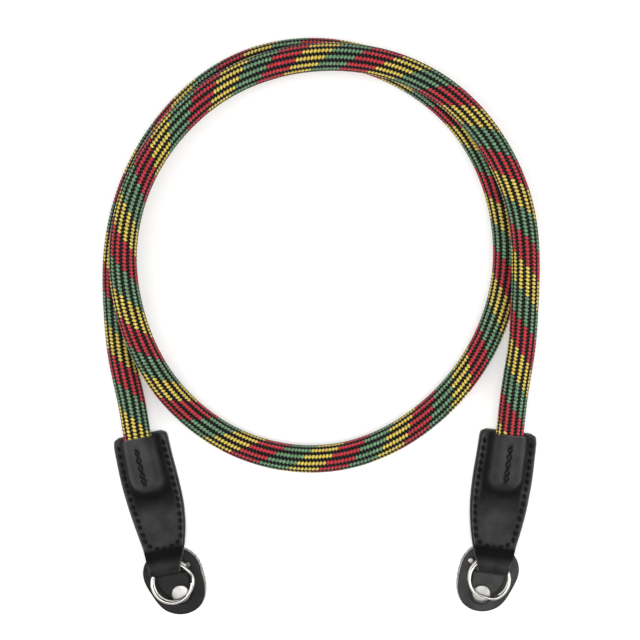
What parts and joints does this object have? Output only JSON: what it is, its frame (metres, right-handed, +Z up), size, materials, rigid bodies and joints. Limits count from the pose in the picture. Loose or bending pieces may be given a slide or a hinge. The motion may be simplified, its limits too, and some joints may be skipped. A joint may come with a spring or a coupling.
{
  "type": "coiled camera strap",
  "caption": "Round braided rope camera strap lying in an open loop, with stitched leather ends, split rings and egg-shaped leather pads under the rings.",
  "frame": {"origin": "on the surface that the strap lies on, in the middle of the box of its two leather ends with their rings and pads", "axes": "+X from the left leather end to the right one, +Y from the ends towards the rope's loop, +Z up from the surface"},
  "size_m": [0.1587, 0.2109, 0.0206],
  "materials": {
    "braided_rope": "braided polyester sheath, black with red, yellow and green strands",
    "black_leather": "smooth satin black leather with raw dark grey edges",
    "pad_leather": "matte black leather with a raw grey edge",
    "polished_steel": "polished",
    "brushed_nickel": "satin"
  },
  "bodies": {
    "root": {"rope": "braided_rope", "left_leather_end": "black_leather", "right_leather_end": "black_leather", "left_split_ring": "polished_steel", "right_split_ring": "polished_steel", "left_ring_pad": "pad_leather", "right_ring_pad": "pad_leather", "left_pad_tongue": "pad_leather", "right_pad_tongue": "pad_leather", "left_tongue_rivet": "brushed_nickel", "right_tongue_rivet": "brushed_nickel", "left_pad_stud": "brushed_nickel", "right_pad_stud": "brushed_nickel"}
  },
  "joints": []
}
